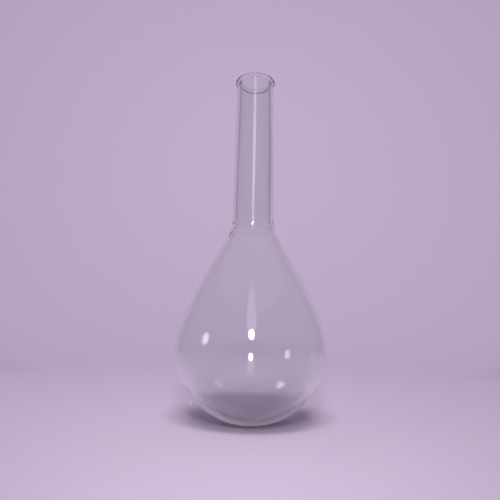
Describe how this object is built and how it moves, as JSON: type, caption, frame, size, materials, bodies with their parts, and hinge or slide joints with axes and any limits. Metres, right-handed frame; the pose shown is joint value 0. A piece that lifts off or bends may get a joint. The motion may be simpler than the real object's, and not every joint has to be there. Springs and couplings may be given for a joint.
{
  "type": "round bottom flask",
  "caption": "Clear glass laboratory flask with a round-bottomed pear-shaped bulb, a conical shoulder fused to a long plain neck, and a beaded lip, for heating and digesting liquids.",
  "frame": {"origin": "lowest point of the bulb, on the flask's axis", "axes": "+Z along the flask's axis from the round bottom to the mouth; X and Y are any two directions across it"},
  "size_m": [0.1, 0.1, 0.241],
  "materials": {
    "bulb_glass": "clear colourless blown glass, polished",
    "seal_glass": "clear flame-fused glass with small ripples",
    "tube_glass": "clear colourless drawn tube, polished",
    "bead_glass": "clear fire-polished glass"
  },
  "bodies": {
    "root": {"bulb": "bulb_glass", "neck_seal": "seal_glass", "neck_tube": "tube_glass", "rim_bead": "bead_glass"}
  },
  "joints": []
}
